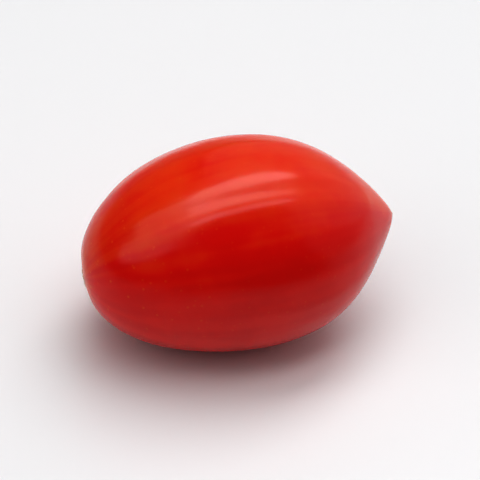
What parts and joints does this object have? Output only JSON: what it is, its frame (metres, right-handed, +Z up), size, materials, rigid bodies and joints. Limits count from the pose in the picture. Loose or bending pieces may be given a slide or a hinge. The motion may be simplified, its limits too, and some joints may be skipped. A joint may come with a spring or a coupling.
{
  "type": "plum tomato",
  "caption": "Small ripe plum tomato, egg-shaped with a pointed blossom end and a corky stem scar, picked without its calyx and lying on its side.",
  "frame": {"origin": "under the middle of the fruit's outline, on the surface that it rests on", "axes": "+X from the stem end towards the pointed blossom end, +Z up"},
  "size_m": [0.046, 0.031, 0.0299],
  "materials": {
    "tomato_skin": "smooth waxy skin, ripe red, orange round the stem scar"
  },
  "bodies": {
    "root": {"tomato": "tomato_skin"}
  },
  "joints": []
}
